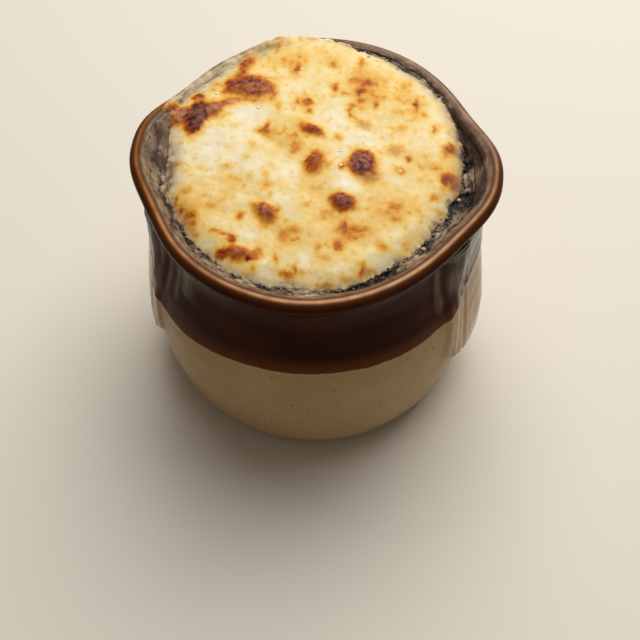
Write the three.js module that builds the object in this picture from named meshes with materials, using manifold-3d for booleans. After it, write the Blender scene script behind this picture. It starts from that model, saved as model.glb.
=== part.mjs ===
// French onion soup in its two-tone stoneware crock, under a crust of browned, melted cheese.
// Units are millimetres and +Z is up. The origin is the middle of the crock's foot, on the surface
// it stands on. The two ears of the rim lie on +X and -X, and the side with the cheese over the
// lip is +Y.
import * as THREE from 'three';
import { mergeVertices } from 'three/addons/utils/BufferGeometryUtils.js';
import Module from 'manifold-3d';

const { clamp, degToRad, lerp, smoothstep } = THREE.MathUtils;

// Crock: heights above the foot, and radii from the upright axis.
const LIP_HEIGHT = 84.6;
const LIP_ROLL = 2.5;
const LIP_OUTER = 49;
const LIP_ARC = { from: -60, to: 190 };
const NECK_HEIGHT = 73;
const NECK_RADIUS = 45.2;
const BELLY_HEIGHT = 41;
const BELLY_RADIUS = 50.9;
const FOOT_RADIUS = 41;
const FOOT_RING = 6.5;
const FOOT_RECESS = 1.5;
const WALL = 4.2;
const FLOOR_THICKNESS = 6.5;
const FLOOR_RADIUS = 30;
// Throat: where the neck turns into the lip, as radii beyond the neck's and heights.
const THROAT_OUTSIDE = [[0.2, 75.6], [0.9, 77.8]];
const THROAT_INSIDE = [[-2.1, 79.3], [-3.5, 76.2]];

// Ears: the lip swells outward and upward at both ends of the X axis, and is slightly oval.
const EAR_REACH = 5.2;
const EAR_RISE = 1.9;
const EAR_HALF_ANGLE = degToRad(21.2);
const EAR_SQUARENESS = 2.6;
const LIP_OVAL = 1.35;
const EAR_START = 66;
const EAR_FULL = 80;

// Lugs: a ridged buttress under each ear, with a rounded chin low on the belly.
const LUG_TOP_RADIUS = 49.2;
const LUG_CHIN_RADIUS = 52.4;
const LUG_CHIN_HEIGHT = 18;
const LUG_SIDE_CLIMB = 13;
const LUG_HALF_ANGLE = degToRad(31);
const LUG_EDGE = degToRad(7);
const LUG_FULL_HEIGHT = 27;
const LUG_STRAIGHT_HEIGHT = 65;
const CHIN_ROUNDING = 2.5;
const RIDGE_SPACING = degToRad(29);
const RIDGE_DEPTH = 0.45;

// Contents: a broth that climbs the wall as a burnt ring, and the crust that floats on it.
const GAP = 0.3;
const BROTH_LEVEL = 76.5;
const BROTH_RING = 78.4;
const RING_START = 33;
const RING_END = 39;
const RING_LEAD = 1.5;
const CRUST_LEVEL = 83;
const CRUST_TILT = 3 / 45;
const CRUST_DOME = 2.5;
const CRUST_HALF_SPAN = 44;
const CRUST_EDGE = 1.2;
const CRUST_EDGE_TURN = 12;
// Low swells over the whole crust: height, phase, and lengths along X, along Y and across both.
const CRUST_SWELL = { height: 0.35, phase: 1, alongX: 3.1, alongY: 3.7, across: 4.9 };
// Radius of the crust's edge every 15 degrees, counter-clockwise from +X.
const CRUST_OUTLINE = [
  41.2, 43, 43.6, 43.4, 44.5, 45.8, 48, 49, 47.5, 45.3, 44.3, 45.6,
  42.2, 39.8, 41.2, 40.6, 41, 42, 41.2, 41.6, 39.6, 38, 38, 39,
];
const DRAPE_ANGLE = degToRad(100);
const DRAPE_FULL = degToRad(16);
const DRAPE_END = degToRad(32);
// Blisters that stand up from the crust: x, y, radius, height.
const BLISTERS = [
  [-35, 13, 6, 1.6], [-27, 20, 4.5, 0.9], [-21, 25, 5.5, 1.3], [-25, 34, 2.6, 0.7],
  [-9.5, 34, 2.8, 0.6], [-5.5, 19, 3.2, 0.7], [-2, 10.5, 3.2, 0.9], [11, 18, 3.6, 0.6],
  [0, -1, 4, 1.4], [13.5, 1, 5, 1.5], [23.5, 6, 3, 0.6], [9, -13.5, 4.2, 1.5],
  [-12, -19, 4, 1.3], [-17, -32, 4, 1.2], [38, 9, 3, 0.8], [39, -1, 3.2, 0.9],
  [27, 23, 2.4, 0.5], [18, -34, 2.6, 0.6],
];

// Facets: segments round the axis, and steps along each stretch of a section.
const CROCK_SEGMENTS = 96;
const BROTH_SEGMENTS = 48;
const CRUST_SEGMENTS = 80;
const CRUST_RINGS = 16;
const CRUST_UNDER_SHARES = [0, 0.4, 0.75, 0.82, 0.9, 1];
const BOWL_STEPS = { outside: 12, inside: 5 };
const SHOULDER_STEPS = { outside: 6, inside: 4 };
const LIP_STEPS = 8;
const MERGE_DISTANCE = 1e-4;

const CROCK_FINISH = { color: 0x4a2a17, roughness: 0.25, metalness: 0 };
const BROTH_FINISH = { color: 0x2e1d12, roughness: 0.35, metalness: 0 };
const CHEESE_FINISH = { color: 0xf0d694, roughness: 0.5, metalness: 0 };

const wasm = await Module();
wasm.setup();

// Angle between a direction and the nearer end of the X axis.
const offEar = (angle) => Math.asin(Math.abs(Math.sin(angle)));

function earSwell(angle) {
  return Math.exp(-((offEar(angle) / EAR_HALF_ANGLE) ** EAR_SQUARENESS));
}

// How far the rim stands out and up from a round one, fading out down the neck.
function rimShift(angle, height) {
  const share = smoothstep(height, EAR_START, EAR_FULL);
  const swell = earSwell(angle);
  const outward = EAR_REACH * swell - LIP_OVAL * Math.cos(2 * angle);
  return { outward: outward * share, upward: EAR_RISE * swell * share };
}

// The lug's outer face, laid over a body of the given radius.
function withLug(angle, radius, height) {
  const off = offEar(angle);
  const chin = LUG_CHIN_HEIGHT + LUG_SIDE_CLIMB * (off / LUG_HALF_ANGLE) ** 2;
  const aboveChin = smoothstep(height, chin - CHIN_ROUNDING, chin + CHIN_ROUNDING);
  const inside = 1 - smoothstep(off, LUG_HALF_ANGLE - LUG_EDGE, LUG_HALF_ANGLE + LUG_EDGE);
  const down = 1 - smoothstep(height, LUG_FULL_HEIGHT, LUG_STRAIGHT_HEIGHT);
  const face = lerp(LUG_TOP_RADIUS, LUG_CHIN_RADIUS, down);
  const ridge = RIDGE_DEPTH * Math.cos(2 * Math.PI * off / RIDGE_SPACING);
  const underEar = 1 - smoothstep(height, NECK_HEIGHT, EAR_FULL);
  const raised = Math.max(0, face - radius) + ridge * underEar;
  return radius + raised * aboveChin * inside;
}

// Points of an elliptical arc, as [radius, height] pairs from one angle to another.
function arc(centre, reach, from, to, steps) {
  return Array.from({ length: steps + 1 }, (_, i) => {
    const turn = degToRad(lerp(from, to, i / steps));
    return [centre[0] + reach[0] * Math.cos(turn), centre[1] + reach[1] * Math.sin(turn)];
  });
}

// An S-curve between the belly and the neck, from the lower to the higher of the two.
function shoulder(lower, upper, steps) {
  return Array.from({ length: steps + 1 }, (_, i) => {
    const t = i / steps;
    return [lerp(lower[0], upper[0], (1 - Math.cos(Math.PI * t)) / 2), lerp(lower[1], upper[1], t)];
  });
}

// The inside of the crock from the lip down to the floor, moved inward by a clearance.
function innerWall(clearance) {
  const neck = [NECK_RADIUS - WALL - clearance, NECK_HEIGHT];
  const belly = [BELLY_RADIUS - WALL - clearance, BELLY_HEIGHT];
  const centre = [FLOOR_RADIUS, BELLY_HEIGHT];
  const reach = [belly[0] - FLOOR_RADIUS, BELLY_HEIGHT - FLOOR_THICKNESS - clearance];
  const bowl = arc(centre, reach, 0, -90, BOWL_STEPS.inside);
  const throat = THROAT_INSIDE.map(([beyond, height]) => [NECK_RADIUS + beyond - clearance, height]);
  return [...throat, ...shoulder(belly, neck, SHOULDER_STEPS.inside).reverse(), ...bowl.slice(1)];
}

// The whole section of the crock, from the middle of its foot round to the middle of its floor.
function crockSection(clearance) {
  const belly = [BELLY_RADIUS + clearance, BELLY_HEIGHT];
  const neck = [NECK_RADIUS + clearance, NECK_HEIGHT];
  const standing = FOOT_RADIUS - FOOT_RING;
  const foot = [[0, FOOT_RECESS], [standing - FOOT_RECESS, FOOT_RECESS], [standing, 0]];
  const centre = [FOOT_RADIUS, BELLY_HEIGHT];
  const bowl = arc(centre, [belly[0] - FOOT_RADIUS, BELLY_HEIGHT], -90, 0, BOWL_STEPS.outside);
  const throat = THROAT_OUTSIDE.map(([beyond, height]) => [neck[0] + beyond, height]);
  const roll = LIP_ROLL + clearance;
  const lipCentre = [LIP_OUTER - LIP_ROLL, LIP_HEIGHT - LIP_ROLL];
  const lip = arc(lipCentre, [roll, roll], LIP_ARC.from, LIP_ARC.to, LIP_STEPS);
  const rising = shoulder(belly, neck, SHOULDER_STEPS.outside).slice(1);
  const outside = [...foot, ...bowl, ...rising, ...throat];
  const inside = [...innerWall(clearance), [0, FLOOR_THICKNESS + clearance]];
  return { points: [...outside, ...lip, ...inside], outsideCount: outside.length };
}

// Turns a section about +Z, then lets place(angle, radius, height, index) move each vertex.
function revolve(points, segments, place) {
  const section = points.map(([radius, height]) => new THREE.Vector2(radius, height));
  const geometry = new THREE.LatheGeometry(section, segments);
  geometry.rotateX(Math.PI / 2);
  const position = geometry.getAttribute('position');
  for (let i = 0; i < position.count; i += 1) {
    const [x, y, z] = [position.getX(i), position.getY(i), position.getZ(i)];
    const angle = Math.atan2(y, x);
    const moved = place(angle, Math.hypot(x, y), z, i % points.length);
    position.setXYZ(i, moved.radius * Math.cos(angle), moved.radius * Math.sin(angle), moved.height);
  }
  return geometry;
}

function crockGeometry(clearance) {
  const { points, outsideCount } = crockSection(clearance);
  return revolve(points, CROCK_SEGMENTS, (angle, radius, height, index) => {
    if (radius === 0) return { radius, height };
    const shift = rimShift(angle, height);
    const bare = radius + shift.outward;
    const standing = index < outsideCount ? withLug(angle, bare, height) : bare;
    return { radius: standing, height: height + shift.upward };
  });
}

// Height of the broth's upper face, under the crust and in the ring along the wall.
function brothTop(radius) {
  const share = clamp((radius - RING_START) / (RING_END - RING_START), 0, 1);
  return lerp(BROTH_LEVEL, BROTH_RING, share);
}

// Radius of the inner wall at the broth's ring, where the ears have lifted the rows of the throat.
function ringRadius(angle) {
  const [above, below] = innerWall(GAP).slice(0, 2).map(([radius, height]) => {
    const shift = rimShift(angle, height);
    return [radius + shift.outward, height + shift.upward];
  });
  return lerp(below[0], above[0], (BROTH_RING - below[1]) / (above[1] - below[1]));
}

function brothGeometry() {
  const wall = innerWall(GAP).slice(1).reverse();
  const face = [RING_END, RING_START].map((radius) => [radius, brothTop(radius)]);
  const floor = [0, FLOOR_THICKNESS + GAP];
  const wallTop = [NECK_RADIUS - WALL, BROTH_RING];
  const section = [floor, ...wall, wallTop, ...face, [0, BROTH_LEVEL]];
  const ring = wall.length + 1;
  return revolve(section, BROTH_SEGMENTS, (angle, radius, height, index) => {
    if (index === ring) return { radius: ringRadius(angle), height };
    if (index === 0 || index > ring) return { radius, height };
    const shift = rimShift(angle, height);
    return { radius: radius + shift.outward, height: height + shift.upward };
  });
}

// Catmull-Rom through the outline's radii, all the way round.
function crustRadius(angle) {
  const count = CRUST_OUTLINE.length;
  const turn = ((angle / (2 * Math.PI)) % 1 + 1) % 1 * count;
  const first = Math.floor(turn);
  const t = turn - first;
  const [a, b, c, d] = [-1, 0, 1, 2].map((step) => CRUST_OUTLINE[(first + step + count) % count]);
  return b + 0.5 * t * (c - a + t * (2 * a - 5 * b + 4 * c - d + t * (3 * (b - c) + d - a)));
}

// One where the crust hangs over the lip, falling to zero on either side.
function drape(angle) {
  const away = Math.abs(Math.atan2(Math.sin(angle - DRAPE_ANGLE), Math.cos(angle - DRAPE_ANGLE)));
  return 1 - smoothstep(away, DRAPE_FULL, DRAPE_END);
}

function blisterHeight(x, y) {
  return BLISTERS.reduce((sum, [bx, by, radius, height]) => {
    const distance = Math.hypot(x - bx, y - by) / radius;
    return sum + (distance < 1 ? height * (1 - distance ** 2) ** 2 : 0);
  }, 0);
}

// The crust's low swells, before its blisters.
function swellHeight(x, y) {
  const { height, phase, alongX, alongY, across } = CRUST_SWELL;
  return height * (Math.sin(x / alongX + phase) * Math.cos(y / alongY) + Math.sin((x + y) / across));
}

// The underside lies on the broth, lifting a little before the ring does, and rises into the lip
// where the crust reaches past the wall.
function crustUnder(angle, radius) {
  if (radius > ringRadius(angle) + LIP_ROLL) return LIP_HEIGHT - LIP_ROLL;
  return brothTop(radius + RING_LEAD) + GAP;
}

function crustTop(angle, share, radius) {
  const [x, y] = [radius * Math.cos(angle), radius * Math.sin(angle)];
  const dome = CRUST_DOME * (1 - Math.min(1, radius / CRUST_HALF_SPAN) ** 2);
  const open = CRUST_LEVEL + CRUST_TILT * y + dome + swellHeight(x, y) + blisterHeight(x, y);
  const edge = crustUnder(angle, radius) + CRUST_EDGE;
  return lerp(open, edge, share ** CRUST_EDGE_TURN * (1 - drape(angle)));
}

// The crust before the crock is cut out of it. Its section is given as shares of the outline's
// radius, along the underside (level 0) and back over the top (level 1).
function crustBlank() {
  const under = CRUST_UNDER_SHARES.map((share) => [share, 0]);
  const over = Array.from({ length: CRUST_RINGS + 1 }, (_, i) => [1 - i / CRUST_RINGS, 1]);
  return revolve([...under, ...over], CRUST_SEGMENTS, (angle, share, level) => {
    const radius = share * crustRadius(angle);
    const height = level < 0.5 ? crustUnder(angle, radius) : crustTop(angle, share, radius);
    return { radius, height };
  });
}

// A closed geometry as a solid, with the doubled vertices of its seam and poles merged.
function toSolid(geometry) {
  const bare = geometry.clone();
  bare.deleteAttribute('normal');
  bare.deleteAttribute('uv');
  const merged = mergeVertices(bare, MERGE_DISTANCE);
  const corners = merged.index.array;
  const faces = [];
  for (let i = 0; i < corners.length; i += 3) {
    const [a, b, c] = corners.slice(i, i + 3);
    if (a !== b && b !== c && c !== a) faces.push(a, b, c);
  }
  const vertProperties = Float32Array.from(merged.getAttribute('position').array);
  const triVerts = Uint32Array.from(faces);
  return new wasm.Manifold(new wasm.Mesh({ numProp: 3, vertProperties, triVerts }));
}

function toGeometry(solid) {
  const { vertProperties, triVerts } = solid.getMesh();
  const geometry = new THREE.BufferGeometry();
  geometry.setAttribute('position', new THREE.BufferAttribute(vertProperties, 3));
  geometry.setIndex(new THREE.BufferAttribute(triVerts, 1));
  geometry.computeVertexNormals();
  return geometry;
}

// The blank with the crock and a small gap round it cut away.
function crustGeometry() {
  return toGeometry(toSolid(crustBlank()).subtract(toSolid(crockGeometry(GAP))));
}

function namedMesh(name, geometry, finish) {
  const mesh = new THREE.Mesh(geometry, new THREE.MeshStandardMaterial(finish));
  mesh.name = name;
  return mesh;
}

const group = new THREE.Group();
group.add(namedMesh('crock', toGeometry(toSolid(crockGeometry(0))), CROCK_FINISH));
group.add(namedMesh('soup', toGeometry(toSolid(brothGeometry())), BROTH_FINISH));
group.add(namedMesh('cheese_crust', crustGeometry(), CHEESE_FINISH));

export default group;
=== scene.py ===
"""French onion soup in a two-tone stoneware crock, under a crust of browned, melted cheese.

Lengths in this script are millimetres until a mesh is finished, when it is brought to metres.
Angles go counter-clockwise from +X, where one of the rim's two ears is.
"""
import math

import bmesh
import bpy
import numpy as np
from mathutils import Matrix, Vector


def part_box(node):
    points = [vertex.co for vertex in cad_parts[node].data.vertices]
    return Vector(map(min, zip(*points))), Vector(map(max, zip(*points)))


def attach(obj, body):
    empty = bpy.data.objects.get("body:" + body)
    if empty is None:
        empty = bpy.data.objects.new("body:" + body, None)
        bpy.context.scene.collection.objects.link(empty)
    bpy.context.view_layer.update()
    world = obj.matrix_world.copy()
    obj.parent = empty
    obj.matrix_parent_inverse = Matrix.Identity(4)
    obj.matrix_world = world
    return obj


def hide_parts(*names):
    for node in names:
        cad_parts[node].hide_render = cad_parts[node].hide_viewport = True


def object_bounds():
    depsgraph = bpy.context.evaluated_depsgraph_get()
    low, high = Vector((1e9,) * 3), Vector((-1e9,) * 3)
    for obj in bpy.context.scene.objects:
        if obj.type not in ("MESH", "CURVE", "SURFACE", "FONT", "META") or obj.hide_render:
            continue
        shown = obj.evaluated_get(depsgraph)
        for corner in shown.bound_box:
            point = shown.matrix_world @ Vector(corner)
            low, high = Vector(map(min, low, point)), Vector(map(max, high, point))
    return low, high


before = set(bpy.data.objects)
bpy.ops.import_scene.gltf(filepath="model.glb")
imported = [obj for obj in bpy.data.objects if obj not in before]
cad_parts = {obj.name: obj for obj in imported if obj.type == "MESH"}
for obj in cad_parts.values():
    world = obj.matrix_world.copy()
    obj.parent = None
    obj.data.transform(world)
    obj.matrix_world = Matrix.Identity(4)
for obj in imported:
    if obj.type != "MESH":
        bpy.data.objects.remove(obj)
cad_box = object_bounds()

MM = 0.001
FULL_TURN = 2 * math.pi

# --------------------------------------------------------------------------- crock, in millimetres
CROCK_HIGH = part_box("crock")[1] / MM
EAR_TIP = CROCK_HIGH.x
BELLY_RADIUS = CROCK_HIGH.y
EAR_RISE = 1.9
LIP_HEIGHT = CROCK_HIGH.z - EAR_RISE
LIP_ROLL = 2.5
LIP_OUTER = 49.0
LIP_ARC = (-60.0, 190.0)
NECK = (45.2, 73.0)
BELLY_HEIGHT = 41.0
FOOT_RADIUS = 41.0
FOOT_RING = 6.5
FOOT_RECESS = 1.5
WALL = 4.2
FLOOR_THICKNESS = 6.5
FLOOR_RADIUS = 30.0
THROAT_OUTSIDE = ((45.4, 75.6), (46.1, 77.8))
THROAT_INSIDE = ((43.1, 79.3), (41.7, 76.2))

LIP_OVAL = 1.35
EAR_REACH = EAR_TIP - LIP_OUTER + LIP_OVAL
EAR_HALF_ANGLE = math.radians(21.2)
EAR_SQUARENESS = 2.6
EAR_START, EAR_FULL = 66.0, 80.0

LUG_TOP_RADIUS = 49.2
LUG_CHIN_RADIUS = 52.4
LUG_CHIN_HEIGHT = 18.0
LUG_SIDE_CLIMB = 13.0
LUG_HALF_ANGLE = math.radians(31.0)
LUG_EDGE = math.radians(7.0)
LUG_FULL_HEIGHT, LUG_STRAIGHT_HEIGHT = 27.0, 65.0
CHIN_ROUNDING = 1.3
RIDGE_SPACING = math.radians(29.0)
RIDGE_DEPTH = 0.45
# Lean in degrees, reach and size of the roll at each side of a lug, and of the groove beside it.
LUG_ROLL = (31.5, 3.4, 0.75)
LUG_GROOVE = (22.5, 4.2, 0.65)

LIP_CENTRE = (LIP_OUTER - LIP_ROLL, LIP_HEIGHT - LIP_ROLL)
BEAD_HEIGHT = 77.2
# Height of the dip line, where the dark glaze ends, every 15 degrees.
DIP_LINE = (
    57, 55, 52, 50.5, 49.5, 50, 50.5, 50, 49.5, 49, 50, 53,
    55.5, 54, 47.6, 46.2, 48.1, 49.7, 50.3, 50.5, 50.3, 50.3, 51.4, 55.6,
)
GLAZE_THICKNESS = 0.22
# Inside, all is dark glaze, as it is this far above the dip line.
WELL_ABOVE_DIP = 20
# The glaze is thin along the lip's crest, with a painted highlight. Every 15 degrees: how much it shows, and
# how pale the highlight is.
CREST_BREAK_AND_HIGHLIGHT = (
    0.45, 0.45, 0.60, 0.65, 0.60, 0.30, 0.25, 0.25, 0.30, 0.35, 0.35, 0.40,
    0.40, 0.50, 0.72, 0.78, 0.64, 0.85, 0.92, 0.95, 1.00, 0.85, 0.70, 0.65,
)
CREST_HIGHLIGHT_PALENESS = (
    0.8, 0.8, 1.0, 1.0, 1.0, 0.5, 0.1, 0.1, 0.1, 0.1, 0.1, 0.0,
    0.0, 0.1, 0.3, 0.4, 0.55, 0.7, 0.75, 0.8, 0.9, 1.0, 1.0, 0.9,
)
# The rim is a little uneven, as handmade rims are: how far it stands out every 15 degrees.
RIM_DRIFT = (
    0.4, 0.2, 0.2, 0.4, 0.45, 0.2, -0.1, 0.1, -0.3, -0.5, -0.75, -0.4,
    -0.4, -0.2, 0.5, 1.0, 0.8, 0.5, 0.45, 0.1, -0.15, -0.1, 0.2, 0.35,
)
# Dried trails under the rim: angle in degrees, half width, top, end, strength.
TRAILS = (
    (324.8, 1.2, 75, 55, 0.95), (330.4, 1.7, 81, 60, 1.0), (337.0, 0.9, 82, 70, 0.5),
    (318.0, 1.0, 78, 72, 0.4), (226.4, 3.0, 72, 59, 1.0), (221.6, 1.2, 76, 54, 0.6),
    (216.4, 1.1, 78, 52, 0.7), (212.4, 1.0, 79, 50, 0.6), (208.4, 1.4, 79, 52, 0.8),
    (203.0, 1.2, 79, 50, 0.6), (197.0, 1.4, 78, 55, 0.5), (233.0, 1.0, 78, 70, 0.3),
    (28.0, 1.4, 79, 60, 0.5), (40.0, 1.0, 77, 66, 0.4), (143.0, 1.3, 78, 58, 0.6),
)

# ------------------------------------------------------------------------ contents, in millimetres
BROTH_LEVEL = 76.5
BROTH_RING = 78.4
RING_START, RING_END = 33.0, 39.0
GAP = 0.3
CRUST_LEVEL = 83.0
CRUST_TILT = 3 / 45
CRUST_DOME = 2.5
CRUST_HALF_SPAN = 44.0
CRUST_TOP_LIMIT = cad_box[1].z / MM + 0.3
# Radius of the crust's edge every 15 degrees. Behind, and thinly at the back left, it is on the lip.
CRUST_OUTLINE = (
    41.8, 43.0, 44.6, 45.3, 45.3, 45.8, 47.2, 49.7, 48.9, 48.7, 48.2, 47.8,
    44.2, 43.2, 41.6, 41.9, 41.8, 41.8, 40.6, 41.2, 39.9, 39.5, 39.4, 40.0,
)
EDGE_TAPER = 6.0
# Thickness of the cheese lying on the lip, at the back left and behind.
LIP_FILM = (0.35, 1.6)
# The froth baked on between the crust and the wall, higher behind.
FROTH_LEVEL = 80.4
FROTH_TILT = 0.03
FROTH_RISE, FROTH_RISE_START = 0.07, 5
FROTH_BOTTOM = 77
FROTH_MIDDLE = 45.0
FROTH_BEND = 2.0
FROTH_UNDER_CRUST = 4.0
FROTH_CLIMB_LIMITS = (1.2, 6.85)
# Every 15 degrees: how far up the wall it has dried on, how far inward its foot is from the wall, how smooth
# it is on the wall, and how deep the crack beside the crust is, which is darkened with painted shade.
FROTH_CLIMB = (
    4.8, 5.4, 6.2, 6.3, 6.2, 5.8, 5.4, 4.0, 3.0, 2.4, 2.4, 4.6,
    5.8, 6.3, 6.5, 6.6, 6.5, 6.4, 6.2, 6.2, 6.3, 6.5, 6.3, 5.4,
)
FROTH_FOOT = (
    0.6, 0.4, 0.4, 0.4, 0.4, 0.4, 0.4, 0.4, 0.4, 0.4, 0.5, 1.5,
    3.4, 1.2, 0.5, 0.5, 0.5, 0.5, 0.5, 0.5, 0.5, 0.5, 0.4, 0.3,
)
# Where it is smooth on the wall, chiefly in the ears, it is grey-brown: dried froth with a painted reflection
# of the glaze.
FROTH_CALM = (
    0.9, 0.7, 0.4, 0.4, 0.4, 0.2, 0, 0, 0, 0, 0.3, 0.9,
    1, 0.3, 0, 0, 0, 0, 0, 0, 0, 0, 0.05, 0.5,
)
FROTH_CRACK = (
    0.6, 0.6, 0.5, 0.6, 0.4, 0.5, 0, 0, 0, 0, 0, 0.2,
    0.5, 0.6, 0.35, 0.4, 0.1, 0, 0.1, 0.3, 0.35, 0.1, 0.4, 0.6,
)

# Stretches of the rim that differ, in radians: middle, how far to each side they are full, and end.
AT_LEFT_EAR = (math.pi, 0.15, 0.45)
LEFT_EAR_EDGE = (math.radians(184), 0.12, 0.4)
BEHIND = (math.radians(97), math.radians(14), math.radians(30))
BACK_RIGHT_EDGE = (math.radians(36), 0.35, 0.75)
BACK_RIGHT_WALL = (math.radians(48), math.radians(28), math.radians(48))
BACK_LEFT_START, BACK_LEFT_FULL = math.radians(104), math.radians(120)
FRONT_ARC = (math.radians(200), math.radians(395))

# Blisters of the crust: x, y, half length, half width, turn in degrees, how brown (0 to 1), how
# much of it is dull skin (0 to 1), and how high it stands.
BLISTERS = (
    (-35.8, 12.6, 6.4, 3.5, 82, 0.94, 0.35, 1.4),
    (-31.5, 15.2, 3.4, 3.4, 0, 0.62, 0.80, 0.8),
    (-41.6, 12.8, 6.4, 3.8, 4, 0.62, 0.80, 0.4),
    (-27.8, 18.6, 4.0, 2.2, 28, 0.58, 0.70, 0.6),
    (-21.6, 24.6, 7.6, 4.2, -6, 0.74, 0.60, 1.2),
    (-25.3, 33.6, 3.6, 1.4, 80, 0.80, 0.20, 0.6),
    (-23.4, 35.2, 2.6, 1.5, 80, 0.46, 0.50, 0.3),
    (-1.8, 10.2, 4.2, 1.9, -22, 0.84, 0.05, 0.8),
    (0.1, -1.3, 4.5, 3.2, 80, 0.78, 0.10, 1.3),
    (13.2, 0.6, 4.9, 4.0, 80, 0.86, 0.75, 1.5),
    (15.6, -3.4, 4.0, 3.8, 0, 0.44, 0.60, 0.4),
    (9.3, -13.4, 4.0, 3.0, -14, 0.84, 0.50, 1.4),
    (5.5, -17.4, 3.2, 1.5, 40, 0.42, 0.40, 0.2),
    (-11.3, -19.2, 4.3, 2.8, -35, 0.78, 0.50, 1.2),
    (-17.2, -32.3, 4.2, 2.3, -10, 0.74, 0.50, 0.9),
    (38.3, 10.2, 2.6, 2.2, 30, 0.70, 0.30, 0.7),
    (39.2, -1.0, 3.1, 2.9, 0, 0.68, 0.35, 0.8),
    (12.4, 14.4, 3.3, 2.1, -20, 0.40, 0.55, 0.4),
    (22.5, 6.5, 2.9, 2.4, 20, 0.36, 0.50, 0.4),
    (-2.8, -37.2, 1.9, 1.1, -15, 0.80, 0.40, 0.4),
)
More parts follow.
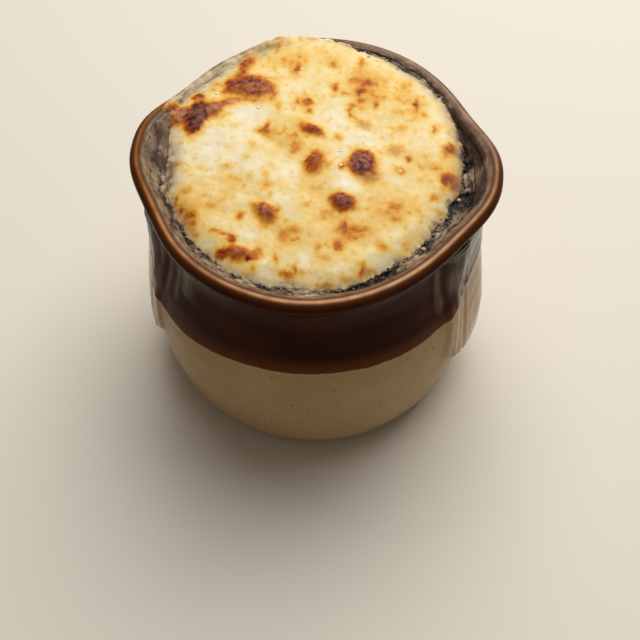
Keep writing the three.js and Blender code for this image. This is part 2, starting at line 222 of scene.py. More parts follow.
# Flat toasted flecks: x, y, half length along X, along Y, and how brown.
FLECKS = (
    (-36.0, 7.6, 2.3, 1.4, 0.84), (-36.6, 20.2, 2.4, 1.4, 0.86), (-36.3, 12.0, 1.6, 4.6, 1.00),
    (-22.8, 26.4, 4.4, 0.9, 1.00), (-28.6, 25.4, 1.0, 2.2, 0.78), (-22.0, 28.9, 5.6, 0.7, 0.76),
    (-21.5, 19.7, 4.6, 0.9, 0.56), (-14.6, 22.0, 0.8, 2.0, 0.68), (-31.8, 25.6, 1.0, 1.0, 0.60),
    (-33.2, 23.5, 1.0, 1.6, 0.50), (-29.0, 22.6, 2.0, 1.2, 0.60), (-25.2, 30.6, 0.9, 1.3, 0.66),
    (-9.3, 33.4, 1.1, 2.7, 0.78), (-11.2, 35.8, 0.8, 2.2, 0.42), (-7.2, 37.0, 0.9, 1.5, 0.36),
    (-13.5, 36.3, 1.2, 2.1, 0.36), (-17.3, 35.0, 1.4, 2.0, 0.22), (-17.0, 41.5, 1.2, 1.4, 0.22),
    (-4.4, 20.4, 1.9, 1.8, 0.60), (-7.4, 20.5, 0.9, 1.2, 0.60), (-3.9, 17.0, 1.4, 1.3, 0.54),
    (-12.8, 17.8, 1.3, 2.3, 0.40), (-15.0, 10.4, 0.9, 1.9, 0.80), (-16.7, 8.6, 1.2, 0.8, 0.72),
    (-14.0, 7.7, 2.4, 2.4, 0.36), (-6.0, 3.5, 1.5, 2.3, 0.48), (-6.6, 7.8, 1.0, 1.1, 0.40),
    (-18.0, 3.2, 0.7, 1.5, 0.40), (-24.2, 9.6, 1.4, 1.5, 0.22), (-25.0, 1.8, 1.0, 1.0, 0.28),
    (1.0, 36.4, 1.2, 1.9, 0.52), (9.2, 38.8, 1.1, 2.9, 0.56), (2.8, 27.0, 1.0, 1.9, 0.74),
    (5.6, 25.0, 1.0, 1.0, 0.44), (8.0, 30.5, 1.9, 1.5, 0.42), (11.8, 30.2, 2.1, 1.4, 0.48),
    (10.4, 26.9, 1.6, 0.9, 0.70), (9.5, 25.3, 0.7, 1.0, 0.64), (10.7, 22.7, 1.3, 1.0, 0.60),
    (8.4, 20.9, 1.1, 0.9, 0.74), (7.6, 19.1, 0.8, 1.2, 0.76), (8.3, 17.3, 0.8, 0.9, 0.68),
    (9.4, 16.2, 0.8, 0.7, 0.60), (11.4, 19.8, 1.2, 1.4, 0.42), (15.1, 22.0, 0.8, 1.9, 0.64),
    (16.6, 31.6, 0.9, 0.9, 0.34), (22.2, 31.0, 0.8, 1.9, 0.50), (24.2, 32.2, 0.6, 1.1, 0.55),
    (26.8, 23.7, 0.9, 2.4, 0.76), (29.5, 20.7, 1.0, 1.0, 0.50), (21.5, 25.0, 1.1, 0.9, 0.40),
    (21.7, 20.6, 1.1, 0.7, 0.38), (32.8, 15.4, 1.0, 1.8, 0.68), (23.5, 14.1, 1.8, 1.5, 0.38),
    (26.2, 3.6, 1.2, 1.4, 0.74), (24.1, -0.8, 1.8, 1.7, 0.46), (36.5, 7.4, 0.9, 1.9, 0.56),
    (34.2, 1.8, 1.2, 1.0, 0.38), (5.8, 8.2, 1.1, 1.5, 0.48), (36.9, -2.4, 0.9, 2.2, 0.86),
    (-39.2, -4.7, 1.6, 1.0, 0.68), (-42.3, -4.9, 1.6, 0.6, 0.58), (-24.6, -5.0, 1.2, 1.0, 0.48),
    (-31.5, -5.6, 1.0, 0.9, 0.26), (-35.6, -7.0, 0.8, 0.9, 0.32), (-13.0, -7.0, 0.9, 1.5, 0.38),
    (-12.0, -2.8, 1.0, 0.9, 0.24), (-21.4, -9.0, 1.6, 0.9, 0.40), (-11.4, -10.3, 1.7, 1.0, 0.40),
    (-36.8, -16.3, 0.8, 2.0, 0.72), (-35.0, -19.4, 0.8, 1.1, 0.75), (-34.4, -13.2, 1.7, 1.8, 0.38),
    (-33.3, -22.0, 1.2, 1.7, 0.54), (-31.5, -21.3, 1.0, 1.1, 0.62), (-31.3, -24.0, 1.1, 1.1, 0.62),
    (-30.1, -26.8, 1.7, 1.0, 0.62), (-26.5, -18.1, 1.2, 0.9, 0.42), (-24.3, -15.5, 1.0, 0.9, 0.28),
    (-24.4, -25.9, 1.4, 0.8, 0.66), (-21.8, -27.1, 1.6, 0.9, 0.74), (-19.4, -28.5, 1.6, 1.8, 0.78),
    (-18.0, -20.9, 1.2, 1.6, 0.66), (-11.0, -23.3, 1.3, 0.9, 0.34), (-7.6, -18.4, 1.0, 1.0, 0.50),
    (-21.6, -33.0, 2.1, 1.8, 0.78), (-11.6, -32.2, 1.6, 2.4, 0.62), (-13.7, -33.6, 1.1, 1.0, 0.98),
    (-6.6, -33.5, 1.0, 1.6, 0.54), (-5.4, -26.0, 1.4, 2.1, 0.48), (-2.8, -23.8, 1.5, 1.3, 0.42),
    (-13.0, -37.5, 2.3, 1.4, 0.42), (-0.5, -15.8, 1.2, 1.1, 0.42), (-1.1, -35.6, 0.7, 1.4, 0.74),
    (8.0, -1.6, 1.2, 1.3, 0.66), (4.3, -1.8, 0.9, 1.7, 0.54), (4.6, -28.5, 1.1, 1.8, 0.50),
    (7.0, -31.8, 2.0, 1.2, 0.42), (10.8, -21.0, 1.0, 2.5, 0.60), (14.5, -21.6, 3.3, 1.2, 0.48),
    (10.0, -27.0, 1.9, 1.7, 0.50), (12.8, -24.3, 2.1, 1.5, 0.42), (21.8, -26.0, 2.0, 1.5, 0.50),
    (24.2, -13.0, 2.2, 1.3, 0.50), (22.0, -15.2, 1.4, 0.8, 0.42), (24.5, -17.3, 1.8, 1.3, 0.42),
    (30.6, -13.0, 0.9, 1.5, 0.34), (34.6, -7.6, 1.6, 1.5, 0.38), (36.8, -11.5, 1.9, 0.8, 0.42),
    (16.9, -34.2, 1.1, 1.8, 0.72), (19.0, -33.5, 1.3, 0.7, 0.60), (13.2, -36.8, 1.9, 0.9, 0.44),
    (7.0, -39.6, 2.9, 0.9, 0.72), (1.0, -36.7, 1.0, 1.0, 0.40), (28.5, -24.5, 1.1, 2.3, 0.36),
)
# Broad areas where the whole crust is warmer in colour: x, y, reach, how much.
WARM_AREAS = (
    (12, 29, 8, 0.34), (10, -24, 9, 0.34), (-33, -20, 7, 0.34), (-16, 38, 9, 0.20), (-1, 39, 8, 0.20),
    (26, 22, 8, 0.22), (34, 2, 8, 0.24), (-5, 19, 6, 0.22), (-20, -12, 9, 0.16),
    (24, -14, 8, 0.30), (-8, 6, 6, 0.26), (-4, -26, 6, 0.24), (1, -10, 5, 0.26),
)

# How dark or pale the baked froth is around the crust: x, y, reach, and shade from black to pale.
# The near-black spots by the right ear are burnt froth and painted shade in the deep pocket by the wall.
FROTH_SHADES = (
    (-47, 3, 5, 0.42), (-44, 5, 2, 0.10), (-44, -3, 2.5, 0.12), (-44, -9, 4, 0.60),
    (-41, -15, 3, 0.50), (-39, -19, 2.5, 0.30), (-40, -23, 3, 0.70), (-36, -25, 2.5, 0.30),
    (-32, -30, 3, 0.45), (-27, -33, 3, 0.50), (-22, -37, 3, 0.55), (-15, -40, 4, 0.55),
    (-6, -43, 4, 0.40), (2, -42, 4, 0.75), (9, -41, 3, 0.60), (13, -39, 3, 0.05),
    (20, -37, 3, 0.08), (26, -33, 3, 0.15), (31, -29, 3.5, 0.65), (35, -23, 2.5, 0.20),
    (38, -20, 3, 0.60), (41, -14, 3, 0.50), (39, -11, 2, 0.45), (42, -8, 2.5, 0.12),
    (45, -5, 2.5, 0.02), (43, 0, 2, 0.45), (45.5, 3.5, 2.2, 0.50), (48, 0, 2.5, 0.20),
    (42, 6, 2, 0.15), (45, 9, 3, 0.10), (43, 13, 3, 0.12), (41, 18, 2.5, 0.10),
    (38, 22, 2.5, 0.20), (36, 27, 2.5, 0.35), (33, 31, 1.5, 0.05), (31, 34, 2.5, 0.40),
    (26, 38, 3, 0.35), (20, 40, 3, 0.20), (14, 43, 3, 0.25), (8, 45, 3, 0.10),
    (-30, 36, 6, 0.80), (-42, 18, 5, 0.60), (-48, 10, 3, 0.38),
)

# Oily bubbles standing on the cheese, coloured nearly white as painted highlights: x, y, radius.
OILY_BUBBLES = (
    (-31.5, 22.0, 0.75), (-8.0, 33.5, 0.60), (-18.5, 17.0, 0.60), (7.0, 3.5, 0.55), (6.5, 4.6, 0.45),
    (7.6, -1.3, 0.60), (24.3, -0.8, 0.60), (11.0, 42.0, 0.55), (16.3, 41.5, 0.70), (20.0, 38.5, 0.55),
    (33.0, -23.5, 0.80), (36.5, -18.0, 0.65), (41.5, -5.5, 0.70), (31.0, -26.5, 0.60),
)

# Radius within which they are palest, honey colour with a painted highlight, and how far from the left ear no
# froth bubbles stand.
OILY_RADIUS = 39
EAR_WITHOUT_BUBBLES = 0.3

# Resolution of the finished meshes.
CROCK_STEPS = 480
BROTH_STEPS = 240
FROTH_STEPS = 640
FROTH_FLAT_ROWS, FROTH_CLIMB_ROWS = 26, 26
CUTS_PER_STEP = 8
CRUST_CELLS = 280
BUBBLE_DOUBLINGS = 8
SEED = 7


# ------------------------------------------------------------------------------- shared arithmetic
def smoothstep(value, low, high):
    share = np.clip((value - low) / (high - low), 0, 1)
    return share * share * (3 - 2 * share)


def lerp(low, high, share):
    return low + (high - low) * share


def between_angles(angle, other):
    """Size of the turn between two angles, from 0 to half a turn."""
    return np.abs((angle - other + math.pi) % FULL_TURN - math.pi)


def facing(angle, middle, full, gone):
    """One near a direction, falling to zero away from it."""
    return 1 - smoothstep(between_angles(angle, middle), full, gone)


def knotted_curve(knots, angle):
    """Catmull-Rom curve through knots spaced evenly round a full turn."""
    knots = np.array(knots, float)
    turn = (angle / FULL_TURN % 1) * len(knots)
    first = np.floor(turn).astype(int)
    t = turn - first
    a, b, c, d = (knots[(first + step) % len(knots)] for step in (-1, 0, 1, 2))
    return b + 0.5 * t * (c - a + t * (2 * a - 5 * b + 4 * c - d + t * (3 * (b - c) + d - a)))


def off_ear(angle):
    """Angle from a direction to the nearer of the two ears."""
    return np.arcsin(np.abs(np.sin(angle)))


def scatter(cells, seed):
    """A repeatable random number from 0 to 1 for every (x, y, z) cell of a lattice."""
    mixed = cells[:, 0] * 73856093 ^ cells[:, 1] * 19349663 ^ cells[:, 2] * 83492791 ^ seed * 2654435
    mixed = (mixed ^ (mixed >> 13)) * 1274126177 & 0x7FFFFFFF
    mixed = (mixed ^ (mixed >> 15)) * 668265263 & 0x7FFFFFFF
    return (mixed ^ (mixed >> 16)) / 0x7FFFFFFF


def soft_noise(points, seed):
    """Smooth noise from about -1 to 1 with bumps one unit across."""
    cells = np.floor(points).astype(np.int64)
    inside = points - cells
    ease = inside ** 3 * (inside * (inside * 6 - 15) + 10)
    total = np.zeros(len(points))
    for corner in np.ndindex(2, 2, 2):
        weight = np.prod(np.where(corner, ease, 1 - ease), axis=1)
        slope = [scatter(cells + corner, seed + 101 * axis) * 2 - 1 for axis in range(3)]
        total += weight * np.sum(np.stack(slope, axis=1) * (inside - corner), axis=1)
    return 1.6 * total


def rough(points, size, octaves=3, seed=0):
    """Fractal noise, about -1 to 1, whose largest bumps have a given size."""
    return sum(soft_noise(points / size * 2 ** level, seed + level) / 2 ** level for level in range(octaves))


def foam(points, size, seed=0):
    """Rounded flat cells of a given size: 1 at the middle of a bubble, 0 where bubbles meet."""
    spots = points / size
    cells = np.floor(spots).astype(np.int64)
    cells[:, 2] = 0
    first = np.full(len(points), 9.0)
    second = np.full(len(points), 9.0)
    for near in np.ndindex(3, 3):
        cell = cells + (near[0] - 1, near[1] - 1, 0)
        centre = np.stack([cell[:, axis] + scatter(cell, seed + 7 * axis) for axis in range(2)], axis=1)
        away = np.hypot(*(spots[:, :2] - centre).T)
        second = np.minimum(second, np.maximum(first, away))
        first = np.minimum(first, away)
    return np.clip((second - first) * 1.6, 0, 1) ** 0.5


# --------------------------------------------------------------------------- shared mesh functions
def arc(centre, reach, start, stop, steps):
    turns = np.radians(np.linspace(start, stop, steps + 1))
    return [(centre[0] + reach[0] * math.cos(t), centre[1] + reach[1] * math.sin(t)) for t in turns]


def shoulder(lower, upper, steps):
    """S-curve from a lower to an upper (radius, height) point."""
    shares = np.linspace(0, 1, steps + 1)
    return [
        (lerp(lower[0], upper[0], (1 - math.cos(math.pi * t)) / 2), lerp(lower[1], upper[1], t))
        for t in shares
    ]


def smooth_through(points, steps):
    """Catmull-Rom curve through the points but the first and last, which only steer it."""
    curve = []
    for a, b, c, d in zip(points, points[1:], points[2:], points[3:]):
        a, b, c, d = map(np.array, (a, b, c, d))
        for t in np.arange(steps) / steps:
            bend = 2 * a - 5 * b + 4 * c - d + t * (3 * (b - c) + d - a)
            curve.append(tuple(b + 0.5 * t * (c - a + t * bend)))
    return curve


def spin_section(section, steps, closed=False):
    """A bmesh of the (radius, height) section turned about Z, each vertex knowing its row."""
    bm = bmesh.new()
    row = bm.verts.layers.float.new("row")
    rail = []
    for index, (radius, height) in enumerate(section):
        vert = bm.verts.new((radius, 0, height))
        vert[row] = index
        rail.append(vert)
    edges = [bm.edges.new(pair) for pair in zip(rail, rail[1:])]
    if closed:
        edges.append(bm.edges.new((rail[-1], rail[0])))
    bmesh.ops.spin(
        bm, geom=rail + edges, cent=(0, 0, 0), axis=(0, 0, 1), angle=FULL_TURN,
        steps=steps // CUTS_PER_STEP, use_merge=True,
    )
    poles = [v for v in bm.verts if math.hypot(v.co.x, v.co.y) < 1e-4]
    bmesh.ops.remove_doubles(bm, verts=poles, dist=1e-3)
    # The few wide steps of the spin are cut finer along every hoop.
    hoops = [e for e in bm.edges if abs(e.verts[0][row] - e.verts[1][row]) < 0.5]
    bmesh.ops.subdivide_edges(bm, edges=hoops, cuts=CUTS_PER_STEP - 1, use_grid_fill=True)
    bmesh.ops.recalc_face_normals(bm, faces=bm.faces)
    return bm


def read_places(bm, section):
    """Angle of every vertex, its radius and height in the section, and its row there."""
    row = bm.verts.layers.float["row"]
    rows = np.rint([v[row] for v in bm.verts]).astype(int)
    x, y, _ = np.array([v.co for v in bm.verts]).T
    radius, height = np.array(section)[rows].T
    return np.arctan2(y, x), radius, height, rows


def write_places(bm, points):
    for vert, point in zip(bm.verts, points):
        vert.co = point


def around(angle, radius, height=0.0):
    """Points at angles about Z. The radius and the height may each be one number for all of them."""
    return np.stack(np.broadcast_arrays(radius * np.cos(angle), radius * np.sin(angle), height), axis=1)


def finish_piece(bm, name, material, replaced=(), fields=None):
    """Brings a bmesh to metres as a smooth piece of the object, with a value per vertex by name."""
    bmesh.ops.scale(bm, vec=(MM, MM, MM), verts=bm.verts)
    mesh = bpy.data.meshes.new(name)
    bm.to_mesh(mesh)
    bm.free()
    mesh.shade_smooth()
    mesh.materials.append(material)
    for field, values in (fields or {}).items():
        layer = mesh.attributes.new(field, "FLOAT", "POINT")
        layer.data.foreach_set("value", np.asarray(values, np.float32))
    piece = bpy.data.objects.new(name, mesh)
    bpy.context.scene.collection.objects.link(piece)
    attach(piece, "root")
    if replaced:
        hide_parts(*replaced)
    return piece


# ---------------------------------------------------------------------------------- node utilities
def srgb(red, green, blue):
    """A colour given as it looks on screen, 0 to 255, in the linear values that shaders use."""
    channels = [c / 255 for c in (red, green, blue)]
    return tuple(c / 12.92 if c < 0.04045 else ((c + 0.055) / 1.055) ** 2.4 for c in channels) + (1,)


class Tree:
    """Adds nodes to a node tree. Inputs may be numbers, colours or the outputs of other nodes."""

    def __init__(self, tree):
        self.tree = tree

    def node(self, kind, inputs=None, **settings):
        made = self.tree.nodes.new(kind)
        for name, value in settings.items():
            setattr(made, name, value)
        for key, value in (inputs or {}).items():
            if isinstance(value, bpy.types.NodeSocket):
                self.tree.links.new(value, made.inputs[key])
            else:
                made.inputs[key].default_value = value
        return made

    def field(self, name):
        return self.node("ShaderNodeAttribute", attribute_name=name).outputs["Fac"]

    def math(self, operation, *values, clamp=False):
        node = self.node("ShaderNodeMath", dict(enumerate(values)), operation=operation, use_clamp=clamp)
        return node.outputs[0]

    def times(self, first, second, clamp=False):
        return self.math("MULTIPLY", first, second, clamp=clamp)

    def plus(self, first, second, clamp=False):
        return self.math("ADD", first, second, clamp=clamp)

    def mix(self, share, first, second, blend="MIX"):
        inputs = {0: share, 6: first, 7: second}
        return self.node("ShaderNodeMix", inputs, data_type="RGBA", blend_type=blend).outputs[2]

    def step(self, value, low, high, start=0.0, stop=1.0):
        """Smooth change from start to stop while the value goes from low to high."""
        inputs = {"Value": value, "From Min": low, "From Max": high, "To Min": start, "To Max": stop}
        return self.node("ShaderNodeMapRange", inputs, interpolation_type="SMOOTHSTEP").outputs[0]

    def ramp(self, value, stops):
        node = self.node("ShaderNodeValToRGB", {0: value})
        ends = node.color_ramp.elements
        for element, (position, colour) in zip(ends, (stops[0], stops[-1])):
            element.position = position
            element.color = colour
        for position, colour in stops[1:-1]:
            ends.new(position).color = colour
        return node.outputs[0]

    def mottle(self, size, contrast=1.0, seed=0.0, stretch=1.0, detail=4.0):
        inputs = {"Size": size, "Contrast": contrast, "Seed": seed, "Stretch": stretch, "Detail": detail}
        node = self.node("ShaderNodeGroup", node_tree=mottle_group())
        for key, value in inputs.items():
            node.inputs[key].default_value = value
        return node.outputs[0]

    def sway(self, amount, size, contrast=1.0, seed=0.0, detail=4.0):
        """Mottling that swings about zero, at most half the amount to either side."""
        centred = self.math("SUBTRACT", self.mottle(size, contrast, seed, detail=detail), 0.5)
        return self.times(centred, amount)

    def bump(self, height, distance, strength=1.0, under=None):
        inputs = {"Height": height, "Distance": distance * MM, "Strength": strength}
        if under is not None:
            inputs["Normal"] = under
        return self.node("ShaderNodeBump", inputs).outputs[0]


def mottle_group():
    """Blotches from 0 to 1: size in millimetres, contrast, seed, stretch along Z, and finer detail."""
    if "mottle" in bpy.data.node_groups:
        return bpy.data.node_groups["mottle"]
    group = bpy.data.node_groups.new("mottle", "ShaderNodeTree")
    defaults = {"Size": 1.0, "Contrast": 1.0, "Seed": 0.0, "Stretch": 1.0, "Detail": 4.0}
    for name, value in defaults.items():
        group.interface.new_socket(name, in_out="INPUT", socket_type="NodeSocketFloat").default_value = value
    group.interface.new_socket("Value", in_out="OUTPUT", socket_type="NodeSocketFloat")
    tree = Tree(group)
    given = tree.node("NodeGroupInput").outputs
    place = tree.node("ShaderNodeTexCoord").outputs["Object"]
    along = tree.math("DIVIDE", 1.0, given["Stretch"])
    squash = tree.node("ShaderNodeCombineXYZ", {0: 1.0, 1: 1.0, 2: along}).outputs[0]
    spot = tree.node("ShaderNodeVectorMath", {0: place, 1: squash}, operation="MULTIPLY").outputs[0]
    scale = tree.math("DIVIDE", 1 / MM, given["Size"])
    inputs = {
        "Vector": spot, "W": given["Seed"], "Scale": scale, "Detail": given["Detail"], "Roughness": 0.55,
    }
    cloud = tree.node("ShaderNodeTexNoise", inputs, noise_dimensions="4D").outputs["Fac"]
    spread = tree.times(tree.math("SUBTRACT", cloud, 0.5), given["Contrast"])
    tree.node("NodeGroupOutput", {0: tree.plus(spread, 0.5, clamp=True)})
    return group


def new_material(name):
    material = bpy.data.materials.new(name)
    material.use_nodes = True
    material.node_tree.nodes.clear()
    return material, Tree(material.node_tree)


def close_material(tree, **inputs):
    named = {key.replace("_", " "): value for key, value in inputs.items()}
    shader = tree.node("ShaderNodeBsdfPrincipled", named)
    tree.node("ShaderNodeOutputMaterial", {"Surface": shader.outputs[0]})


# ------------------------------------------------------------------------------------------- crock
def rim_shift(angle, height):
    """How far the rim stands out and up from a round one, fading out down the neck."""
    share = smoothstep(height, EAR_START, EAR_FULL)
    swell = np.exp(-((off_ear(angle) / EAR_HALF_ANGLE) ** EAR_SQUARENESS))
    outward = EAR_REACH * swell - LIP_OVAL * np.cos(2 * angle) + knotted_curve(RIM_DRIFT, angle)
    return outward * share, EAR_RISE * swell * share


def lug_cover(angle, height):
    """One on the lugs, falling to zero at their sides and under their chins."""
    off = off_ear(angle)
    sides = 1 - smoothstep(off, LUG_HALF_ANGLE - LUG_EDGE, LUG_HALF_ANGLE + LUG_EDGE)
    return above_chin(off, height) * sides


def above_chin(off, height):
    chin = LUG_CHIN_HEIGHT + LUG_SIDE_CLIMB * (off / LUG_HALF_ANGLE) ** 2
    return smoothstep(height, chin - CHIN_ROUNDING, chin + CHIN_ROUNDING)


def lug_folds(angle, height):
    """The upright roll at each side of a lug and the groove beside it, in millimetres."""
    off = off_ear(angle)
    lean = np.degrees(off) + 0.9 * np.sin(height / 6.5)
    low = 1 - smoothstep(height, 52, 68)
    roll, groove = [
        size * np.exp(-(((lean - middle) / reach) ** 2)) for middle, reach, size in (LUG_ROLL, LUG_GROOVE)
    ]
    fine = 0.12 * np.cos(FULL_TURN * lean / 4.6) * (1 - smoothstep(np.abs(lean - 26), 8, 13))
    under_rim = 1 - smoothstep(height, 72, 79)
    return (roll - groove + fine) * lerp(0.35, 1, low) * above_chin(off, height) * under_rim


def with_lug(angle, radius, height):
    off = off_ear(angle)
    down = 1 - smoothstep(height, LUG_FULL_HEIGHT, LUG_STRAIGHT_HEIGHT)
    face = lerp(LUG_TOP_RADIUS, LUG_CHIN_RADIUS, down)
    ridge = RIDGE_DEPTH * np.cos(FULL_TURN * off / RIDGE_SPACING)
    under_ear = 1 - smoothstep(height, NECK[1], EAR_FULL)
    raised = np.maximum(0, face - radius) + ridge * under_ear
    return radius + raised * lug_cover(angle, height) + lug_folds(angle, height)


def trails(angle, height):
    """Thin dried trails of soup that ran down from under the rim, from 0 to 1."""
    total = np.zeros_like(angle)
    for at, width, top, end, amount in TRAILS:
        drift = 0.6 * np.sin(height / 3.7 + at) * width
        away = (np.degrees(between_angles(angle, math.radians(at))) - 0.25 * drift) / width
        along = smoothstep(height, end, end + 5) * (1 - smoothstep(height, top - 1.5, top + 1))
        total = np.maximum(total, amount * np.exp(-away ** 2) * along)
    return total


def inner_wall(clearance):
    """Inside of the crock from the throat down to the floor, moved inward by a clearance."""
    neck = (NECK[0] - WALL - clearance, NECK[1])
    belly = (BELLY_RADIUS - WALL - clearance, BELLY_HEIGHT)
    reach = (belly[0] - FLOOR_RADIUS, BELLY_HEIGHT - FLOOR_THICKNESS - clearance)
    bowl = arc((FLOOR_RADIUS, BELLY_HEIGHT), reach, 0, -90, 8)
    throat = [(radius - clearance, height) for radius, height in THROAT_INSIDE]
    return throat + shoulder(belly, neck, 8)[::-1] + bowl[1:]


def crock_section():
    """Outline from the middle of the foot round to the middle of the floor, and its outer count."""
    standing = FOOT_RADIUS - FOOT_RING
    foot = [
        (0, FOOT_RECESS), (standing - FOOT_RECESS, FOOT_RECESS), (standing - 0.3, 0.15), (standing + 0.4, 0),
    ]
    bowl = arc((FOOT_RADIUS, BELLY_HEIGHT), (BELLY_RADIUS - FOOT_RADIUS, BELLY_HEIGHT), -90, 0, 46)
    rising = shoulder((BELLY_RADIUS, BELLY_HEIGHT), NECK, 44)
    lip = arc(LIP_CENTRE, (LIP_ROLL, LIP_ROLL), *LIP_ARC, 30)
    throat = smooth_through([rising[-4], rising[-1], *THROAT_OUTSIDE, lip[0], lip[3]], 5)
    inside = inner_wall(0)
    hollow = smooth_through([lip[-4], lip[-1], *inside[:3], inside[4]], 3)
    outer = foot + bowl + rising[1:-1] + throat
    return outer + lip + hollow[1:] + inside[2:] + [(0, FLOOR_THICKNESS)], len(outer)


def lip_fields(angle, radius, height, past_outside):
    """How the glaze looks on the lip and inside it: thin on the crest with a painted highlight, brown, and
    filmed with broth.
    """
    tube = np.degrees(np.arctan2(height - LIP_CENTRE[1], radius - LIP_CENTRE[0]))
    on_lip = past_outside & (height > LIP_CENTRE[1] - 1)
    inside = past_outside & ((tube > 90) | (tube < -100))
    creeping = facing(angle, *BACK_RIGHT_WALL) * smoothstep(tube, 20, 60) * 0.75
    filmed = np.maximum(smoothstep(tube, 98, 122) + (tube < 0), creeping)
    crest = np.exp(-((tube - 80) / 11) ** 2) * knotted_curve(CREST_BREAK_AND_HIGHLIGHT, angle)
    return {
        "crest": np.where(on_lip, crest, 0),
        "crest_highlight": knotted_curve(CREST_HIGHLIGHT_PALENESS, angle),
        "lip": np.where(on_lip, smoothstep(tube, 10, 60), 0),
        "film": np.where(inside, filmed, creeping * on_lip),
    }


def make_crock(material):
    section, outer_count = crock_section()
    bm = spin_section(section, CROCK_STEPS)
    angle, radius, height, row = read_places(bm, section)
    moves = radius > 1
    outside = (row < outer_count) & moves
    outward, upward = rim_shift(angle, height)
    bare = radius + outward * moves
    above_dip = height - knotted_curve(DIP_LINE, angle)
    run = trails(angle, height)
    glaze_edge = 0.45 * np.exp(-((above_dip - 0.7) / 0.7) ** 2)
    glaze = GLAZE_THICKNESS * (smoothstep(above_dip, -0.3, 0.4) + glaze_edge - 1)
    throwing = 0.035 * np.sin(height / 1.2) * smoothstep(height, 3, 12)
    bead = 0.16 * np.exp(-((height - BEAD_HEIGHT) / 0.6) ** 2)
    dressed = with_lug(angle, bare, height) + glaze * (height > 30) + throwing + bead + 0.35 * run
    surface = np.where(outside, dressed, bare)
    write_places(bm, around(angle, surface, height + upward * moves))
    fields = lip_fields(angle, radius, height, row >= outer_count)
    fields["above_dip"] = np.where(outside, above_dip, WELL_ABOVE_DIP)
    # Dried trails, and a pale line painted along the bead under the lip as a highlight.
    fields["trail_and_bead_highlight"] = np.maximum(run, 0.55 * outside * np.exp(-((height - BEAD_HEIGHT) / 0.7) ** 2))
    return finish_piece(bm, "stoneware_crock", material, ["crock"], fields)


def glaze_material():
    """Brown glaze over cream, thin and warm at its edge, pale where it breaks on the lip's crest; highlights
    painted on crest and bead.
    """
    material, tree = new_material("two_tone_glaze")
    depth = tree.plus(tree.field("above_dip"), tree.sway(0.9, 2.2, 1.6))
    dark = tree.mix(tree.mottle(16, 2.2, 3, 0.6), srgb(42, 16, 4), srgb(70, 32, 12))
    brown = tree.mix(tree.step(depth, 0.1, 6.5), srgb(98, 54, 25), dark)
    brown = tree.mix(tree.field("lip"), brown, srgb(86, 44, 18))
    # The crest is pale where the glaze breaks thin, and carries a painted highlight, palest at the front and
    # the right.
    crest = tree.times(tree.field("crest"), tree.step(tree.mottle(5, 1.8, 5), 0.1, 0.7, 0.6, 1.0))
    brown = tree.mix(crest, brown, tree.mix(tree.field("crest_highlight"), srgb(216, 148, 76), srgb(240, 190, 146)))
    cream = tree.mix(tree.mottle(22, 2.0, 8), srgb(168, 140, 100), srgb(190, 162, 120))
    cream = tree.mix(tree.step(tree.mottle(1.6, 2.4, 12), 0.86, 0.97), cream, srgb(104, 70, 42))
    colour = tree.mix(tree.step(depth, -0.25, 0.25), cream, brown)
    trail_and_bead_highlight = tree.times(tree.field("trail_and_bead_highlight"), tree.step(tree.mottle(1.8, 2.0, 4, 5), 0.15, 0.6, 0.4, 1.0))
    # Pale grey on the dried trails, and a painted highlight along the bead.
    colour = tree.mix(tree.times(trail_and_bead_highlight, 0.7), colour, srgb(140, 130, 110))
    film = tree.times(tree.field("film"), tree.step(tree.mottle(3.0, 2.2, 14), 0.2, 0.6, 0.55, 1.0))
    greasy = tree.mix(tree.mottle(4.0, 2.4, 17), srgb(112, 94, 80), srgb(164, 142, 120))
    colour = tree.mix(film, colour, greasy)
    roughness = tree.step(tree.math("MAXIMUM", trail_and_bead_highlight, film), 0.0, 0.8, 0.14, 0.42)
    normal = tree.bump(tree.mottle(7, 1.5, 2), 0.20)
    normal = tree.bump(tree.mottle(0.8, 1.5, 6), 0.02, under=normal)
    close_material(tree, Base_Color=colour, Roughness=roughness, Normal=normal, Specular_IOR_Level=0.035)
    return material


# ------------------------------------------------------------------------------------------- crust
def outside_oval(x, y, spot_x, spot_y, half_length, half_width, turn=0):
    """About how many millimetres a point is outside a leaning oval, negative inside it."""
    lean = math.radians(turn)
    along = (x - spot_x) * math.cos(lean) + (y - spot_y) * math.sin(lean)
    across = (y - spot_y) * math.cos(lean) - (x - spot_x) * math.sin(lean)
    return (np.hypot(along / half_length, across / half_width) - 1) * min(half_length, half_width)


def toast_crust(points):
    """How brown the crust is, how much of it is dull skin, how warm, and its blisters' height."""
    x, y = points[:, 0], points[:, 1]
    near_x = x + 0.6 * rough(points, 3.6, 2, 1) + 0.3 * rough(points, 1.3, 1, 2)
    near_y = y + 0.6 * rough(points, 3.6, 2, 3) + 0.3 * rough(points, 1.3, 1, 4)
    pale = np.ones_like(x)
    skin = np.zeros_like(x)
    rise = np.zeros_like(x)
    warm = np.zeros_like(x)
    for *oval, brown, dull, height in BLISTERS:
        away = outside_oval(near_x, near_y, *oval)
        core, halo = 1 - smoothstep(away, -1.6, 0.9), 1 - smoothstep(away, -0.8, 2.6)
        pale *= 1 - brown * (0.68 * core + 0.32 * halo)
        skin = np.maximum(skin, dull * (1 - smoothstep(away, -2.4, 0.0)))
        rise += height * (1 - smoothstep(outside_oval(x, y, *oval), -min(oval[2:4]), 0.8))
    for *oval, brown in FLECKS:
        away = outside_oval(near_x, near_y, *oval)
        core, halo = 1 - smoothstep(away, -1.1, 0.6), 1 - smoothstep(away, -0.8, 2.0)
        pale *= 1 - brown * (0.7 * core + 0.3 * halo)
    for spot_x, spot_y, reach, amount in WARM_AREAS:
        warm += amount * np.exp(-((x - spot_x) ** 2 + (y - spot_y) ** 2) / reach ** 2)
    return 1 - pale, skin, warm, rise


